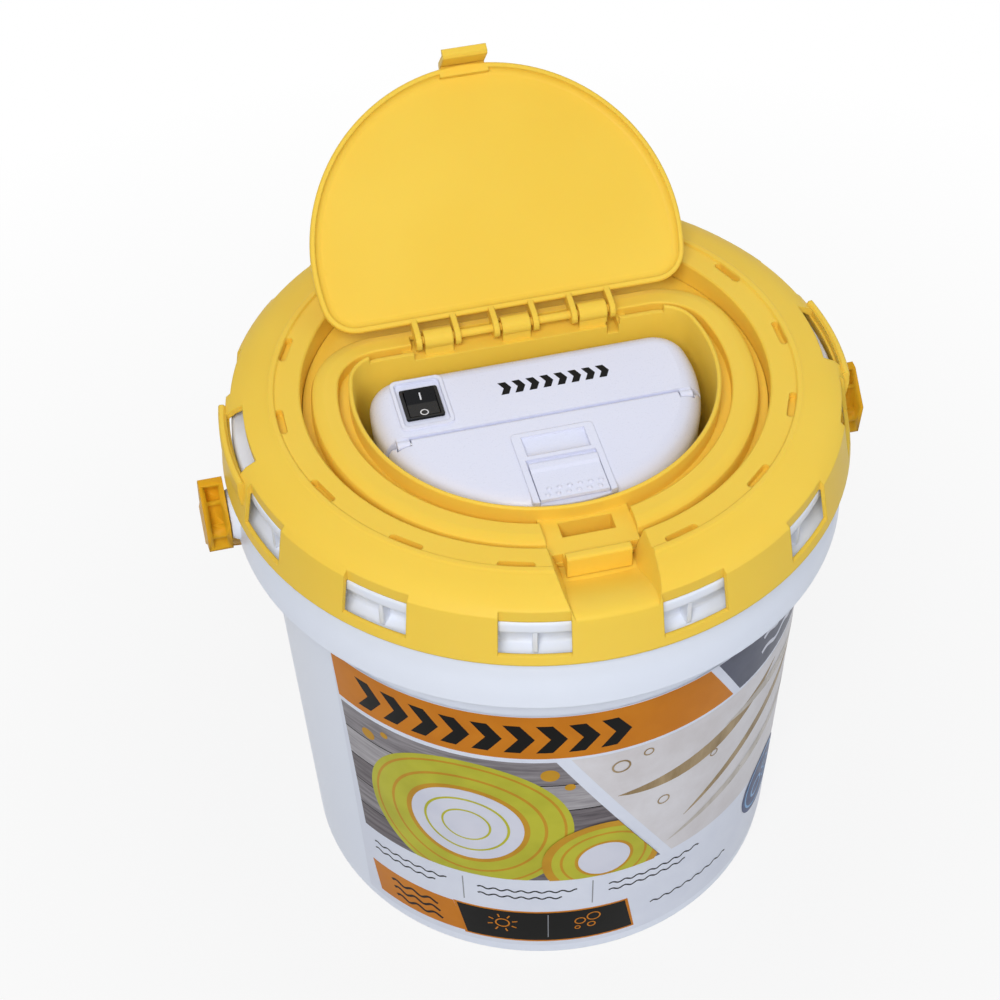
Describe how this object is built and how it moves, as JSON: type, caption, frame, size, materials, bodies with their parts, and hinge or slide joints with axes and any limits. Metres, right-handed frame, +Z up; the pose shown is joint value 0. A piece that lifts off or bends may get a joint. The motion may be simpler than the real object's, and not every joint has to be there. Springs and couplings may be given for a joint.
{
  "type": "aerated bait bucket",
  "caption": "Insulated bait pail with a clip-on lid, hinged D-shaped flap, swinging bail and a battery aerator that drops into the lid.",
  "frame": {"origin": "centre of the pail's base, on the surface it stands on", "axes": "+Z up the pail's axis, -Y towards the flap's latch, +X along the bail's pivot axis"},
  "size_m": [0.282, 0.2653, 0.3382],
  "materials": {
    "pail_white": "smooth polypropylene with a soft sheen",
    "lid_yellow": "satin moulded polypropylene",
    "case_white": "fine satin ABS",
    "foam": "expanded bead foam",
    "print": "printed film, slightly glossy",
    "black_plastic": "black nylon",
    "rubber": "soft rubber",
    "steel": "plated steel",
    "cell": "sleeved cell can",
    "grey_plastic": "moulded acetal",
    "clear_tube": "soft tube",
    "wire": "insulated wire"
  },
  "bodies": {
    "pail": {"pail": "pail_white", "pail_rim": "pail_white", "foam_liner": "foam", "label": "print", "bail_studs": "pail_white"},
    "bail": {"bail": "lid_yellow"},
    "lid": {"lid_ring": "lid_yellow", "lid_gasket": "rubber", "lid_well": "lid_yellow"},
    "flap": {"flap": "lid_yellow"},
    "aerator": {"aerator_base": "case_white", "aerator_top": "case_white", "case_seal": "rubber", "case_screws": "steel", "switch_frame": "black_plastic", "cover_hinge_pin": "steel", "battery_tray": "black_plastic", "battery_1": "cell", "battery_2": "cell", "contact_springs": "steel", "contact_plates": "steel", "motor": "steel", "connecting_rod": "grey_plastic", "diaphragm": "rubber", "pump_head": "grey_plastic", "air_tube": "clear_tube", "outlet_barb": "case_white", "switch_leads": "wire"},
    "rocker": {"rocker": "black_plastic"},
    "battery_cover": {"battery_cover": "case_white"},
    "cover_latch": {"cover_latch": "case_white"},
    "motor_shaft": {"motor_shaft": "steel"}
  },
  "joints": [
    {"name": "bail_swing", "type": "hinge", "parent": "pail", "child": "bail", "pos_m": [0, 0, 0.21], "axis": [1, 0, 0], "range_deg": [0, 276]},
    {"name": "lid_lift", "type": "slide", "parent": "pail", "child": "lid", "axis": [0, 0, 1], "range_m": [0, 0.09]},
    {"name": "flap_hinge", "type": "hinge", "parent": "lid", "child": "flap", "pos_m": [0, 0.0335, 0.256], "axis": [-1, 0, 0], "range_deg": [-140, 0]},
    {"name": "aerator_lift", "type": "slide", "parent": "lid", "child": "aerator", "axis": [0, 0, 1], "range_m": [0, 0.07]},
    {"name": "rocker_tilt", "type": "hinge", "parent": "aerator", "child": "rocker", "pos_m": [-0.0468, 0.0019, 0.2493], "axis": [-1, 0, 0], "range_deg": [0, 14]},
    {"name": "cover_open", "type": "hinge", "parent": "aerator", "child": "battery_cover", "pos_m": [0, -0.0186, 0.2485], "axis": [-1, 0, 0], "range_deg": [0, 85]},
    {"name": "latch_slide", "type": "slide", "parent": "battery_cover", "child": "cover_latch", "axis": [0, 1, 0], "range_m": [0, 0.003], "stiffness_N_per_m": 150},
    {"name": "motor_spin", "type": "hinge", "parent": "aerator", "child": "motor_shaft", "pos_m": [-0.012, 0.004, 0.2324], "axis": [0, 0, 1], "continuous": true}
  ]
}
